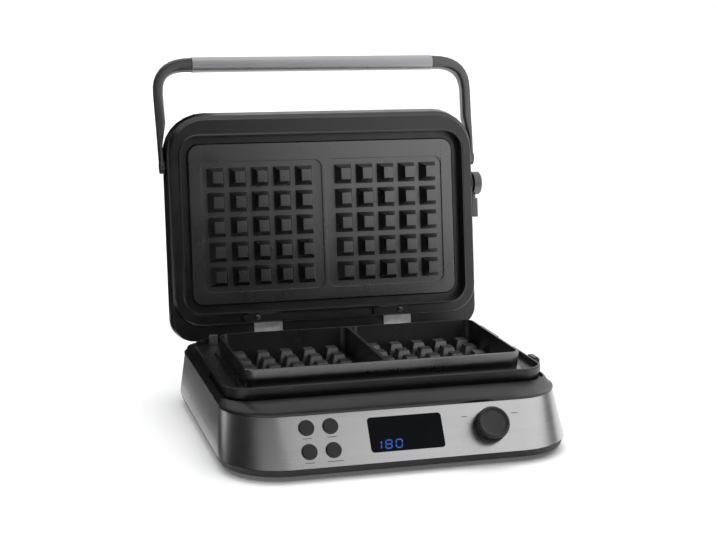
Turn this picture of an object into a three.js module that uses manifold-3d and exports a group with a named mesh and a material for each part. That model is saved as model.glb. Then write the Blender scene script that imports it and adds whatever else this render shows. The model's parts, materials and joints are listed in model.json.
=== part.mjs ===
// A two-slice deep waffle maker, standing open, with a carrying bail, a display and a turn knob.
// Millimetres, +Z up, the front faces -Y. While it is built, y = 0 is the middle of the waffle
// fields and z = 0 is the table; the finished object stands on its bounding box's bottom centre.
import * as THREE from 'three';
import { mergeVertices } from 'three/addons/utils/BufferGeometryUtils.js';
import Module from 'manifold-3d';

const wasm = await Module();
wasm.setup();

// Clearances and smoothness
const seat_gap = 0.3;
const cut_overrun = 3;
const running_gap = 0.5;
const least_corner = 1.5;
const corner_steps = 7;
const round_steps = 26;
const small_round_steps = 16;

// Waffle fields: two fields of pegs side by side, alike in both plates
const pegs_across = 5;
const pegs_deep = 5;
const peg_pitch_x = 22;
const peg_pitch_y = 24.1;
const peg_base_x = 18;
const peg_base_y = 19.8;
const peg_top_x = 9.5;
const peg_top_y = 11;
const peg_height = 12.5;
const divider_width = 3.6;
const margin_by_divider = 9.3;
const margin_outer = 5.5;
const field_corner = 8;

// Cooking plates
const plate_side_rim = 12.4;
const plate_front_rim = 18;
const plate_rear_rim = 12.5;
const plate_corner = 12;
const plate_edge_round = 1.2;
const upper_plate_thickness = 4;
const upper_field_recess = 1.5;
const lower_wall_width = 2.4;
const lower_wall_height = 16;
const lower_wall_round = 0.8;
const lower_field_depth = 27.2;
const lower_field_draft = 3;
const lower_casting = 3.3;
const lower_flange_thickness = 2.5;
const lower_flange_width = 4;

// Base outline, from the seam under the black frame down to the skirt
const seam_corner = 42.7;
const foot_corner = 53;
const seam_rear_corner = 20;
const foot_rear_corner = 22;
const shoulder_corner = 23;
const side_flare = 5;
const front_flare = 25.2;
const rear_flare = 3;
const shoulder_side = 2.5;
const shoulder_front = 28.2;
const shoulder_rear = 1;
const lip_to_seam_side = 5.6;
const lip_to_seam_front = 33.7;

// Base heights, from the table upward
const foot_height = 5;
const skirt_height = 6;
const band_height = 38;
const face_height = 6.5;
const lip_rise = 9.7;
const bead_height = 2;
const bead_proud = 0.4;

// Base walls
const skirt_inset = 2.5;
const skirt_floor = 2.5;
const skirt_wall = 2.5;
const skirt_tongue = 1.5;
const band_sheet = 1.2;
const rear_panel_sheet = 2.5;
const rear_panel_half = 100;
const frame_wall = 2.8;
const frame_sheet = 2;
const face_setback = 9;
const deck_thickness = 4.5;

// Channel and lip round the lower plate
const lip_thickness = 2.3;
const lip_corner = 19.5;
const channel_side = 12.2;
const channel_front = 7.6;
const channel_rear = 27.2;
const channel_depth = 5.2;
const flange_drop = 4.2;
const flange_seat = 3.5;
const bracket_seat = 16;
const groove_depth = 2.2;
const groove_shelf = 1.5;
const lip_face_height = 6.3;
const lip_undercut = 1.4;
const lip_round = 0.8;
const notch_length = 39.6;
const notch_depth = 5;
const notch_from_front = 78.3;
const catch_rise = 0.5;
const hinge_well = 11;
const hinge_well_margin = 1.5;

// Feet and posts
const foot_radius = 9;
const foot_stem_radius = 3;
const foot_inset_x = 34;
const foot_inset_y = 34;
const post_radius = 4.4;
const post_from_lip = 2.5;
const post_spread = 48;
const screw_radius = 1.8;
const screw_head_radius = 3.4;
const screw_head_height = 1.6;
const screw_length = 12;

// Vents in the tray and the rear panel
const vent_count = 7;
const vent_pitch = 11;
const vent_width = 3.2;
const tray_vent_length = 46;
const tray_vent_from_middle = 55;
const rear_vent_count = 12;
const rear_vent_height = 18;
const rear_vent_from_end = 16;

// Controls on the sloping front, measured along the slope from its lower edge
const window_width = 64;
const window_height = 29.6;
const window_middle = 24.2;
const window_offset = -1.1;
const window_corner = 3;
const window_glass = 1.5;
const button_radius = 6.6;
const button_proud = 1.6;
const button_flange_radius = 8;
const button_flange = 1;
const button_stem_radius = 2.2;
const button_travel = 1;
const button_column_inner = 65;
const button_column_outer = 85.4;
const button_rim = 0.55;
const button_row_low = 14.4;
const button_row_high = 34.8;
const knob_from_middle = 72.8;
const knob_middle = 23.6;
const knob_radius = 14.8;
const knob_height = 13;
const knob_skirt_height = 3;
const knob_groove = 1;
const knob_chamfer = 1;
const shaft_radius = 3;
const shaft_in_knob = 8;

// Electronics behind the front and on the tray
const board_sheet = 1.6;
const board_depth = 10;
const board_beyond_buttons = 18.6;
const board_low = 9;
const board_high = 42;
const display_margin = 1.5;
const switch_size = 6.2;
const switch_height = 3.4;
const encoder_size = 13;
const encoder_height = 6;
const bushing_radius = 4.6;
const carrier_wall = 1.8;
const power_board_x = 92;
const power_board_y = 62;
const power_post_height = 6;
const power_post_radius = 3.2;
const power_post_inset = 6;
const relay_x = 22;
const relay_y = 17;
const relay_height = 16;

// Cord inlet at the rear
const gland_radius = 7;
const gland_bore = 3.6;
const gland_collar_radius = 9.5;
const gland_collar = 3;
const gland_inside = 8;
const gland_from_end = 22;
const gland_up = 17;

// Heating elements, reflector pans and sensors
const element_radius = 3.3;
const element_inset_x = 22;
const element_inset_y = 20;
const element_corner = 18;
const element_tail_spread = 12;
const element_tail = 14;
const element_sides = 8;
const element_steps = 48;
const pan_sheet = 0.8;
const pan_flange = 4;
const sensor_radius = 8;
const sensor_height = 4;

// Lid, in its closed place
const plates_gap = 0.3;
const lid_lip_proud = 5.5;
const lid_frame_sheet = 2.5;
const lid_lip_bead = 1;
const lid_lip_bead_width = 2.2;
const lid_seat_sheet = 2;
const lid_seat_reach = 5;
const lid_gap = 7.8;
const lid_gap_front = 6.7;
const lid_opening_corner = 18;
const lid_face_side = 10.8;
const lid_face_front = 16.9;
const lid_face_rear = 10.8;
const lid_outer_corner = 36;
const lid_rear_corner = 27;
const lid_overhang_corner = 20;
const lid_skirt = 2;
const lid_bulge_side = 2.4;
const lid_bulge_front = 6.4;
const lid_overhang = 15.3;
const lid_height = 44;
const lid_shell_wall = 2.5;
const lid_ledge = 2.7;
const lid_crown = 26;
const lid_shoulder = 13;
const lid_edge = 4.5;

// Heights of the shell's bends, as shares of the lid's height
const shell_widest_share = 0.36;
const shell_straight_share = 0.68;
const shell_bend_share = 0.86;
const shell_shoulder_share = 0.965;
const shell_draft_share = 0.17;

// Hinge
const hinge_setback = 48;
const hinge_drop = 9.9;
const hinge_to_rear = 14.4;
const hinge_left = 62;
const hinge_right = 70.5;
const pin_radius = 2.5;
const pin_end = 1;
const knuckle_radius = 5.4;
const leaf_width = 28.4;
const leaf_sheet = 2;
const ear_sheet = 2;
const ear_radius = 6;
const bracket_sheet = 2;
const bracket_length = 16;
const frame_screw_spread = 73;
const frame_screw_setback = 3;
const rim_stop_width = 5;
const rim_stop_height = 3;
const rim_stop_from_hinge = 23.3;
const tab_sheet = 1;
const tab_width = 8;
const tab_foot = 5;
const tab_height = 9.6;
const tab_spread = 124;

// How far the lid and the bail stand open, in degrees
const lid_open_degrees = 98.5;
const bail_back_degrees = 7.4;

// Bail
const bail_reach = 99.5;
const bail_from_front = 50.7;
const bail_height_in_lid = 17.2;
const bail_arm_thickness = 9;
const bail_end_thickness = 4;
const bail_arm_lean = 2;
const bail_thin_length = 20;
const bail_swell_length = 22;
const bail_arm_depth = 14;
const bail_end_radius = 7.3;
const bail_corner = 34.2;
const bail_corner_rise = 29;
const bail_corner_thickness = 13;
const bail_side_gap = 0.5;
const bail_sides = 16;
const bail_bend_steps = 9;
const bail_squareness_share = 0.5;
const bail_bend_share = 0.76;
const grip_radius = 7.5;
const grip_wall = 1.3;
const grip_spigot = 9;
const pivot_radius = 3;
const pivot_head_radius = 5;
const pivot_head = 1.5;
const pivot_blind = 2.8;

// Lock on the lid's right side
const lock_from_pivot = 26.3;
const lock_boss_radius = 9.6;
const lock_boss_height = 2.4;
const lock_disc_radius = 11.8;
const lock_disc_height = 8.1;
const lock_chamfer = 1.1;
const lock_shaft_radius = 3;
const lock_tab_width = 10;
const lock_tab_thickness = 5.2;
const lock_tab_length = 19.2;
const lock_tab_set_in = 0.6;
const lock_neck_width = 6;
const lock_neck_thickness = 2.8;
const lock_neck_set_in = 0.4;
const lock_neck_length = 3.6;
const catch_length = 14;
const catch_thickness = 3.4;
const catch_from_front = 32.9;

// Places that follow from the sizes
const field_width = (pegs_across - 1) * peg_pitch_x + peg_base_x + margin_by_divider + margin_outer;
const field_half_length = ((pegs_deep - 1) * peg_pitch_y + peg_base_y) / 2 + margin_outer;
const field_half_width = divider_width / 2 + field_width;
const board_half_length = button_column_outer + board_beyond_buttons;
const gland_from_middle = rear_panel_half - gland_from_end;
const skirt_z = foot_height + skirt_height;
const seam_z = skirt_z + band_height;
const shoulder_z = seam_z + face_height;
const lip_z = shoulder_z + lip_rise;
const channel_z = lip_z - channel_depth;
const deck_under_z = channel_z - deck_thickness;
const flange_z = lip_z - flange_drop;
const wall_top_z = flange_z + lower_wall_height;
const field_floor_z = wall_top_z - lower_field_depth;
const casting_z = field_floor_z - lower_casting;
const flange_under_z = flange_z - lower_flange_thickness;
const under_face_z = shoulder_z - groove_depth - frame_sheet;
const plate_rim_z = wall_top_z + plates_gap;
const lid_z = plate_rim_z - lid_lip_proud;
const lid_inner_z = lid_z + lid_frame_sheet;
const upper_floor_z = plate_rim_z + upper_field_recess;
const upper_back_z = plate_rim_z + upper_plate_thickness;
const hinge_y = field_half_length + hinge_setback;
const hinge_z = lip_z - hinge_drop;

// An outline is a rectangle with round corners, given by its half width, front, rear and radius.
function outline(half, front, rear, radius, rear_radius = radius) {
  return { half, front, rear, radius, rear_radius };
}

function grow(shape, side, front = side, rear = side) {
  const change = Math.min(side, front, rear);
  const radius = Math.max(shape.radius + change, least_corner);
  const rear_radius = Math.max(shape.rear_radius + change, least_corner);
  return outline(shape.half + side, shape.front - front, shape.rear + rear, radius, rear_radius);
}

function between(low, high, share) {
  const mix = (a, b) => a + (b - a) * share;
  return outline(mix(low.half, high.half), mix(low.front, high.front), mix(low.rear, high.rear),
    mix(low.radius, high.radius), mix(low.rear_radius, high.rear_radius));
}

const field_pair = outline(field_half_width, -field_half_length, field_half_length, field_corner);
const plate_edge = outline(field_half_width + plate_side_rim, -field_half_length - plate_front_rim,
  field_half_length + plate_rear_rim, plate_corner);
const lower_wall = grow(field_pair, lower_wall_width);
const flange_edge = grow(lower_wall, lower_flange_width);
const lip_inner = outline(flange_edge.half + channel_side, flange_edge.front - channel_front,
  flange_edge.rear + channel_rear, lip_corner - lip_thickness);
const lip_outer = grow(lip_inner, lip_thickness);
const seam_edge = outline(lip_outer.half + lip_to_seam_side, lip_outer.front - lip_to_seam_front,
  hinge_y + hinge_to_rear, seam_corner, seam_rear_corner);
const foot_edge = outline(seam_edge.half + side_flare, seam_edge.front - front_flare,
  seam_edge.rear + rear_flare, foot_corner, foot_rear_corner);
const shoulder_edge = outline(seam_edge.half - shoulder_side, seam_edge.front + shoulder_front,
  seam_edge.rear - shoulder_rear, shoulder_corner, seam_rear_corner);
const lid_opening = outline(plate_edge.half + lid_gap, plate_edge.front - lid_gap_front,
  plate_edge.rear + lid_gap, lid_opening_corner);
const lid_edge_line = outline(lid_opening.half + lid_face_side, lid_opening.front - lid_face_front,
  lid_opening.rear + lid_face_rear, lid_outer_corner, lid_rear_corner);
const lid_widest = outline(lid_edge_line.half + lid_bulge_side, lid_edge_line.front - lid_bulge_front,
  lid_edge_line.rear + lid_overhang, lid_outer_corner + lid_bulge_side, lid_overhang_corner);

// Solids
function solidOf(geometry) {
  const bare = geometry.clone();
  bare.deleteAttribute('normal');
  bare.deleteAttribute('uv');
  const merged = mergeVertices(bare);
  const corners = Array.from(merged.index.array);
  const kept = [];
  for (let i = 0; i < corners.length; i += 3) {
    const [a, b, c] = corners.slice(i, i + 3);
    if (a !== b && b !== c && c !== a) {
      kept.push(a, b, c);
    }
  }
  const points = Float32Array.from(merged.attributes.position.array);
  const made = new wasm.Manifold(new wasm.Mesh({
    numProp: 3,
    vertProperties: points,
    triVerts: Uint32Array.from(kept),
  }));
  if (made.volume() > 0) {
    return made;
  }
  const flipped = [];
  for (let i = 0; i < kept.length; i += 3) {
    flipped.push(kept[i], kept[i + 2], kept[i + 1]);
  }
  return new wasm.Manifold(new wasm.Mesh({
    numProp: 3,
    vertProperties: points,
    triVerts: Uint32Array.from(flipped),
  }));
}

function joined(solids) {
  return solids.reduce((sum, next) => sum.add(next));
}

function cut(body, solids) {
  return solids.reduce((left, next) => left.subtract(next), body);
}

function geometryOf(solid) {
  const { vertProperties, triVerts } = solid.getMesh();
  const geometry = new THREE.BufferGeometry();
  geometry.setAttribute('position', new THREE.BufferAttribute(Float32Array.from(vertProperties), 3));
  geometry.setIndex(Array.from(triVerts));
  geometry.computeVertexNormals();
  return geometry;
}

// Closes a skin over rings of points that all have the same count and are convex
function skin(rings) {
  const count = rings[0].length;
  const index = [];
  for (let level = 0; level < rings.length - 1; level += 1) {
    for (let j = 0; j < count; j += 1) {
      const a = level * count + j;
      const b = level * count + (j + 1) % count;
      index.push(a, b, b + count, a, b + count, a + count);
    }
  }
  const top = (rings.length - 1) * count;
  for (let j = 1; j < count - 1; j += 1) {
    index.push(0, j + 1, j, top, top + j, top + j + 1);
  }
  const geometry = new THREE.BufferGeometry();
  geometry.setAttribute('position', new THREE.Float32BufferAttribute(
    rings.flat().flatMap((point) => point.toArray()), 3));
  geometry.setIndex(index);
  return solidOf(geometry);
}

function outlineRing(shape, z) {
  const { half, front, rear, radius, rear_radius } = shape;
  const corners = [
    [half - radius, front + radius, radius, -Math.PI / 2],
    [half - rear_radius, rear - rear_radius, rear_radius, 0],
    [rear_radius - half, rear - rear_radius, rear_radius, Math.PI / 2],
    [radius - half, front + radius, radius, Math.PI],
  ];
  return corners.flatMap(([x, y, r, start]) => Array.from({ length: corner_steps + 1 }, (_, step) => {
    const angle = start + (Math.PI / 2) * (step / corner_steps);
    return new THREE.Vector3(x + r * Math.cos(angle), y + r * Math.sin(angle), z);
  }));
}

// A stack of [outline, height] pairs, lowest first
function stack(levels) {
  return skin(levels.map(([shape, z]) => outlineRing(shape, z)));
}

function block(x0, x1, y0, y1, z0, z1) {
  const geometry = new THREE.BoxGeometry(x1 - x0, y1 - y0, z1 - z0);
  geometry.translate((x0 + x1) / 2, (y0 + y1) / 2, (z0 + z1) / 2);
  return solidOf(geometry);
}

function rodZ(radius, x, y, z0, z1, steps = small_round_steps) {
  const geometry = new THREE.CylinderGeometry(radius, radius, z1 - z0, steps);
  geometry.rotateX(Math.PI / 2);
  geometry.translate(x, y, (z0 + z1) / 2);
  return solidOf(geometry);
}

function rodX(radius, y, z, x0, x1, steps = small_round_steps) {
  const geometry = new THREE.CylinderGeometry(radius, radius, x1 - x0, steps);
  geometry.rotateZ(Math.PI / 2);
  geometry.translate((x0 + x1) / 2, y, z);
  return solidOf(geometry);
}

// Turns a profile of [radius, height] pairs round the Z axis
function turnedZ(profile, steps = round_steps) {
  const points = profile.map(([radius, height]) => new THREE.Vector2(radius, height));
  const geometry = new THREE.LatheGeometry(points, steps);
  geometry.rotateX(Math.PI / 2);
  return solidOf(geometry);
}

// Extrudes a profile of [y, z] pairs along X
function profileAlongX(points, x0, x1) {
  const shape = new THREE.Shape(points.map(([y, z]) => new THREE.Vector2(y, z)));
  const geometry = new THREE.ExtrudeGeometry(shape, { depth: x1 - x0, bevelEnabled: false });
  geometry.applyMatrix4(new THREE.Matrix4().makeBasis(
    new THREE.Vector3(0, 1, 0), new THREE.Vector3(0, 0, 1), new THREE.Vector3(1, 0, 0)));
  geometry.translate(x0, 0, 0);
  return solidOf(geometry);
}

function moved(solid, matrix) {
  return solidOf(geometryOf(solid).applyMatrix4(matrix));
}

function shiftTo(x, y, z) {
  return new THREE.Matrix4().makeTranslation(x, y, z);
}

// Finishes
const finish = (color, roughness, metalness) => new THREE.MeshStandardMaterial({
  color, roughness, metalness,
});
const black_plastic = () => finish(0x1b1b1d, 0.5, 0);
const soft_black = () => finish(0x232325, 0.6, 0);
const steel = () => finish(0xb4b4b8, 0.34, 1);
const plate_coating = () => finish(0x2a2a2c, 0.45, 0.2);
const dark_sheet = () => finish(0x46474a, 0.5, 0.9);
const light_sheet = () => finish(0xa9abb0, 0.35, 1);
const grip_metal = () => finish(0x7d7c80, 0.36, 1);
const board_green = () => finish(0x1d5a38, 0.6, 0);
const element_metal = () => finish(0x5c5a55, 0.5, 0.9);
const glass_black = () => finish(0x060608, 0.08, 0);
const rubber_black = () => finish(0x18181a, 0.85, 0);
const knob_grey = () => finish(0x3a3a3d, 0.5, 0);
const zinc = () => finish(0xb9b9b4, 0.4, 1);

const object = new THREE.Group();
const lid = new THREE.Group();
const bail = new THREE.Group();
const lock = new THREE.Group();
const front = new THREE.Group();

function addPiece(parent, name, solid, material) {
  const mesh = new THREE.Mesh(geometryOf(solid), material);
  mesh.name = name;
  parent.add(mesh);
  return mesh;
}

// The sloping front: x runs right, y up the slope and z outward
front.position.set(0, foot_edge.front, skirt_z);
front.rotation.x = Math.atan2(band_height, front_flare);
front.updateMatrixWorld(true);
const front_matrix = front.matrixWorld;
const button_places = [-button_column_outer, -button_column_inner].flatMap(
  (x) => [button_row_high, button_row_low].map((y) => [x, y]));

// Base: tray, feet and their screws
const wall_outline = (z) => between(foot_edge, seam_edge, (z - skirt_z) / band_height);
const foot_places = [-1, 1].flatMap((side) => [
  [side * (foot_edge.half - foot_inset_x), foot_edge.front + foot_inset_y],
  [side * (foot_edge.half - foot_inset_x), foot_edge.rear - foot_inset_y],
]);
const post_places = [-1, 1].flatMap((side) => [-post_spread, post_spread].map(
  (y) => [side * (lip_outer.half - post_from_lip - post_radius / 2), y]));
const tray_floor_z = foot_height + skirt_floor;
const power_board_middle = [-rear_panel_half + power_board_x / 2, post_spread / 2];
const power_posts = [-1, 1].flatMap((sx) => [-1, 1].map((sy) => [
  power_board_middle[0] + sx * (power_board_x / 2 - power_post_inset),
  power_board_middle[1] + sy * (power_board_y / 2 - power_post_inset),
]));

function trayVents() {
  return Array.from({ length: vent_count }, (_, i) => {
    const x = tray_vent_from_middle + (i - (vent_count - 1) / 2) * vent_pitch;
    return block(x - vent_width / 2, x + vent_width / 2, -tray_vent_length / 2, tray_vent_length / 2,
      foot_height - cut_overrun, tray_floor_z + cut_overrun);
  });
}

function trayScrewHoles() {
  return post_places.flatMap(([x, y]) => [
    rodZ(screw_radius + seat_gap, x, y, foot_height - cut_overrun, tray_floor_z + cut_overrun),
    rodZ(screw_head_radius + seat_gap, x, y, foot_height - cut_overrun,
      foot_height + screw_head_height + seat_gap),
  ]);
}

function makeTray() {
  const low = grow(foot_edge, -skirt_inset);
  const top = grow(foot_edge, -seat_gap);
  const tongue = grow(wall_outline(skirt_z), -rear_panel_sheet - seat_gap);
  const shell = joined([
    stack([[low, foot_height], [top, skirt_z]]),
    stack([[grow(foot_edge, -rear_panel_sheet - running_gap - skirt_inset), tray_floor_z],
      [grow(tongue, -running_gap), skirt_z + skirt_tongue]]),
  ]);
  const hollow = grow(tongue, -skirt_wall - running_gap);
  const posts = power_posts.map(([x, y]) => rodZ(power_post_radius, x, y,
    foot_height + skirt_floor / 2, tray_floor_z + power_post_height));
  const holes = foot_places.map(([x, y]) => rodZ(foot_stem_radius + seat_gap, x, y,
    foot_height - cut_overrun, tray_floor_z + cut_overrun));
  const open = cut(shell, [stack([[hollow, tray_floor_z], [hollow, seam_z]])]);
  return cut(joined([open, ...posts]), [...holes, ...trayVents(), ...trayScrewHoles()]);
}

addPiece(object, 'base_tray', makeTray(), soft_black());

foot_places.forEach(([x, y], i) => {
  const foot = joined([
    rodZ(foot_radius, x, y, 0, foot_height - seat_gap, round_steps),
    rodZ(foot_stem_radius, x, y, foot_height - cut_overrun, tray_floor_z + seat_gap),
  ]);
  addPiece(object, `foot_${i + 1}`, foot, rubber_black());
});

// Screws that hold the frame's posts to the tray
post_places.forEach(([x, y], i) => {
  const screw = joined([
    rodZ(screw_head_radius, x, y, foot_height, foot_height + screw_head_height),
    rodZ(screw_radius, x, y, foot_height, foot_height + screw_length),
  ]);
  addPiece(object, `tray_screw_${i + 1}`, screw, zinc());
});

// Steel band round the front and the sides, with the openings for the controls
function onFront(solid) {
  return moved(solid, front_matrix);
}

function roundedSlab(width, height, radius, x, y, z0, z1) {
  const shape = outline(width / 2, y - height / 2, y + height / 2, radius);
  return moved(stack([[shape, z0], [shape, z1]]), shiftTo(x, 0, 0));
}

function bandSkin(sheet) {
  const low = skirt_z + seat_gap;
  const high = seam_z - seat_gap;
  const outer = stack([[wall_outline(low), low], [wall_outline(high), high]]);
  const under = low - cut_overrun;
  const over = high + cut_overrun;
  const inner = stack([[grow(wall_outline(under), -sheet), under],
    [grow(wall_outline(over), -sheet), over]]);
  return outer.subtract(inner);
}

const rear_zone = (half) => block(-half, half, 0, foot_edge.rear + cut_overrun,
  skirt_z - cut_overrun, seam_z + cut_overrun);

function makeBand() {
  const depth = band_sheet + cut_overrun;
  const holes = [
    roundedSlab(window_width + 2 * seat_gap, window_height + 2 * seat_gap, window_corner, window_offset,
      window_middle, -depth, depth),
    rodZ(shaft_radius + running_gap, knob_from_middle, knob_middle, -depth, depth),
    ...button_places.map(([x, y]) => rodZ(button_radius + seat_gap, x, y, -depth, depth, round_steps)),
  ].map(onFront);
  return cut(bandSkin(band_sheet), [rear_zone(rear_panel_half), ...holes]);
}

addPiece(object, 'steel_band', makeBand(), steel());

// Rear panel with vents and the cord inlet, on its own slope: x runs left, y up and z outward
const rear = new THREE.Group();
const rear_up = new THREE.Vector3(0, -rear_flare, band_height).normalize();
const rear_out = new THREE.Vector3(0, band_height, rear_flare).normalize();
rear.position.set(0, foot_edge.rear, skirt_z);
rear.quaternion.setFromRotationMatrix(
  new THREE.Matrix4().makeBasis(new THREE.Vector3(-1, 0, 0), rear_up, rear_out));
rear.updateMatrixWorld(true);

function makeRearPanel() {
  const middle_z = (skirt_z + seam_z) / 2;
  const slots = Array.from({ length: rear_vent_count }, (_, i) => {
    const x = rear_vent_from_end - rear_panel_half + i * vent_pitch;
    return block(x, x + vent_width, 0, foot_edge.rear + cut_overrun,
      middle_z - rear_vent_height / 2, middle_z + rear_vent_height / 2);
  });
  const panel = bandSkin(rear_panel_sheet).intersect(rear_zone(rear_panel_half - seat_gap));
  const hole = rodZ(gland_radius + seat_gap, -gland_from_middle, gland_up, -gland_inside, cut_overrun);
  return cut(panel, [...slots, moved(hole, rear.matrixWorld)]);
}

addPiece(object, 'rear_panel', makeRearPanel(), black_plastic());

const gland = turnedZ([[gland_bore, -gland_inside], [gland_radius, -gland_inside],
  [gland_radius, seat_gap], [gland_collar_radius, seat_gap],
  [gland_collar_radius, gland_collar], [gland_bore, gland_collar], [gland_bore, -gland_inside]]);
addPiece(rear, 'cord_gland', gland, rubber_black()).position.set(-gland_from_middle, gland_up, 0);

// Top frame: sloping face, groove, raised lip, channel, and a rebate that carries the lower plate
const frame_opening = grow(flange_edge, -flange_seat);
const hinge_sides = [-hinge_left, hinge_right];
const well_half = leaf_width / 2 + seat_gap + ear_sheet + hinge_well_margin;
const face_outline = (z) => between(seam_edge, shoulder_edge, (z - seam_z) / face_height);

function frameHollows() {
  const seam_inside = grow(face_outline(seam_z), -frame_wall);
  const face_inside = grow(face_outline(under_face_z), -frame_wall, -face_setback, -frame_wall);
  const deck_inside = outline(lip_outer.half - frame_wall, lip_outer.front + frame_wall,
    lip_outer.rear - bracket_seat, lip_outer.radius - frame_wall, least_corner);
  const rebate = grow(flange_edge, seat_gap);
  return [
    stack([[seam_inside, seam_z - cut_overrun], [face_inside, under_face_z]]),
    stack([[deck_inside, seam_z - cut_overrun], [deck_inside, deck_under_z]]),
    stack([[lip_inner, channel_z], [lip_inner, lip_z + cut_overrun]]),
    stack([[rebate, flange_under_z - seat_gap], [rebate, lip_z]]),
    stack([[frame_opening, seam_z], [frame_opening, lip_z]]),
  ];
}

function frameBody() {
  const bead = grow(seam_edge, bead_proud);
  const bead_z = seam_z + bead_height;
  const outer = stack([[bead, seam_z], [bead, bead_z], [face_outline(bead_z), bead_z],
    [shoulder_edge, shoulder_z]]);
  const lip = stack([[lip_outer, under_face_z], [lip_outer, lip_z - lip_round],
    [grow(lip_outer, -lip_round), lip_z]]);
  return outer.add(lip);
}

// The groove runs round the lip's foot at the front, and cuts under the lip
function frameGroove() {
  const shelf = grow(shoulder_edge, -groove_shelf);
  const foot = grow(lip_outer, -lip_undercut);
  const ring = stack([[shelf, shoulder_z - groove_depth], [shelf, lip_z - lip_face_height]]);
  const core = stack([[foot, seam_z], [foot, lip_z]]);
  const front_half = block(-foot_edge.half, foot_edge.half, foot_edge.front, 0, seam_z, lip_z);
  return ring.subtract(core).intersect(front_half);
}

function makeTopFrame() {
  const posts = post_places.map(([x, y]) => rodZ(post_radius, x, y, tray_floor_z + seat_gap,
    deck_under_z + deck_thickness / 2));
  const bores = post_places.map(([x, y]) => rodZ(screw_radius + seat_gap, x, y, foot_height,
    foot_height + screw_length + seat_gap));
  const wells = hinge_sides.map((x) => block(x - well_half, x + well_half,
    hinge_y - ear_radius - hinge_well_margin, hinge_y + ear_radius + hinge_well_margin,
    hinge_z - hinge_well, lip_z));
  const notch_y = lip_outer.front + notch_from_front;
  const notch = block(lip_inner.half - lip_thickness, lip_outer.half + cut_overrun,
    notch_y, notch_y + notch_length, lip_z - notch_depth, lip_z + cut_overrun);
  const solid = cut(frameBody(), [...frameHollows(), frameGroove(), ...wells, notch]);
  return cut(joined([solid, ...posts]), bores);
}

addPiece(object, 'top_frame', makeTopFrame(), black_plastic());

// Lock catch on the frame's right side
function makeCatch() {
  const y = lip_outer.front + catch_from_front;
  const low_z = seam_z + bead_height + catch_thickness;
  const side = (z) => face_outline(z).half + seat_gap;
  const top_z = lip_z + catch_rise;
  const lip_side = lip_outer.half + seat_gap;
  const shape = new THREE.Shape([
    [side(low_z), low_z], [side(low_z) + catch_thickness, low_z + catch_thickness],
    [side(shoulder_z) + catch_thickness, top_z - catch_thickness / 2],
    [side(shoulder_z) + catch_thickness / 2, top_z], [lip_side, top_z],
    [lip_side, shoulder_z + seat_gap], [side(shoulder_z), shoulder_z + seat_gap],
  ].map(([x, z]) => new THREE.Vector2(x, z)));
  const geometry = new THREE.ExtrudeGeometry(shape, { depth: catch_length, bevelEnabled: false });
  geometry.rotateX(Math.PI / 2);
  geometry.translate(0, y + catch_length, 0);
  return solidOf(geometry);
}

addPiece(object, 'lock_catch', makeCatch(), black_plastic());

// Waffle fields and their pegs, which both plates share
const field_middles = [-1, 1].map((side) => side * (divider_width + field_width) / 2);
const single_field = outline(field_width / 2, -field_half_length, field_half_length, field_corner);

function fieldCutter(low_shape, low_z, high_shape, high_z) {
  return field_middles.map((x) => moved(
    stack([[low_shape, low_z], [high_shape, high_z]]), shiftTo(x, 0, 0)));
}

function peg(x, y, root_z, tip_z) {
  const ring = (width, length, z) => [[-1, -1], [1, -1], [1, 1], [-1, 1]].map(
    ([sx, sy]) => new THREE.Vector3(x + sx * width / 2, y + sy * length / 2, z));
  return skin([ring(peg_base_x, peg_base_y, root_z), ring(peg_top_x, peg_top_y, tip_z)]);
}

function pegs(root_z, tip_z) {
  const first_x = divider_width / 2 + margin_by_divider + peg_base_x / 2;
  const first_y = -(pegs_deep - 1) * peg_pitch_y / 2;
  return [-1, 1].flatMap((side) => Array.from({ length: pegs_across * pegs_deep }, (_, i) => peg(
    side * (first_x + (i % pegs_across) * peg_pitch_x),
    first_y + Math.floor(i / pegs_across) * peg_pitch_y, root_z, tip_z)));
}

function makeLowerPlate() {
  const under = grow(field_pair, lower_casting - lower_field_draft);
  const box = stack([[under, casting_z], [lower_wall, wall_top_z - lower_wall_round],
    [grow(lower_wall, -lower_wall_round), wall_top_z]]);
  const edge_z = flange_z - plate_edge_round;
  const flange = stack([[flange_edge, flange_under_z], [flange_edge, edge_z],
    [grow(flange_edge, -plate_edge_round), flange_z]]);
  const floor = grow(single_field, -lower_field_draft);
  const cavities = [
    ...fieldCutter(floor, field_floor_z, single_field, wall_top_z),
    ...fieldCutter(single_field, wall_top_z, single_field, wall_top_z + cut_overrun),
  ];
  const root_z = field_floor_z - lower_casting / 2;
  return joined([cut(box.add(flange), cavities), ...pegs(root_z, field_floor_z + peg_height)]);
}

addPiece(object, 'lower_plate', makeLowerPlate(), plate_coating());

// Heating elements: a tube bent round the fields, with two tails to the rear
function bentPath(points, radius, z) {
  const corners = points.map(([x, y]) => new THREE.Vector3(x, y, z));
  const path = new THREE.CurvePath();
  let from = corners[0];
  for (let i = 1; i < corners.length - 1; i += 1) {
    const before = corners[i].clone().sub(corners[i - 1]).normalize();
    const after = corners[i + 1].clone().sub(corners[i]).normalize();
    const start = corners[i].clone().addScaledVector(before, -radius);
    const end = corners[i].clone().addScaledVector(after, radius);
    path.add(new THREE.LineCurve3(from, start));
    path.add(new THREE.QuadraticBezierCurve3(start, corners[i], end));
    from = end;
  }
  path.add(new THREE.LineCurve3(from, corners[corners.length - 1]));
  return path;
}

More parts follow.
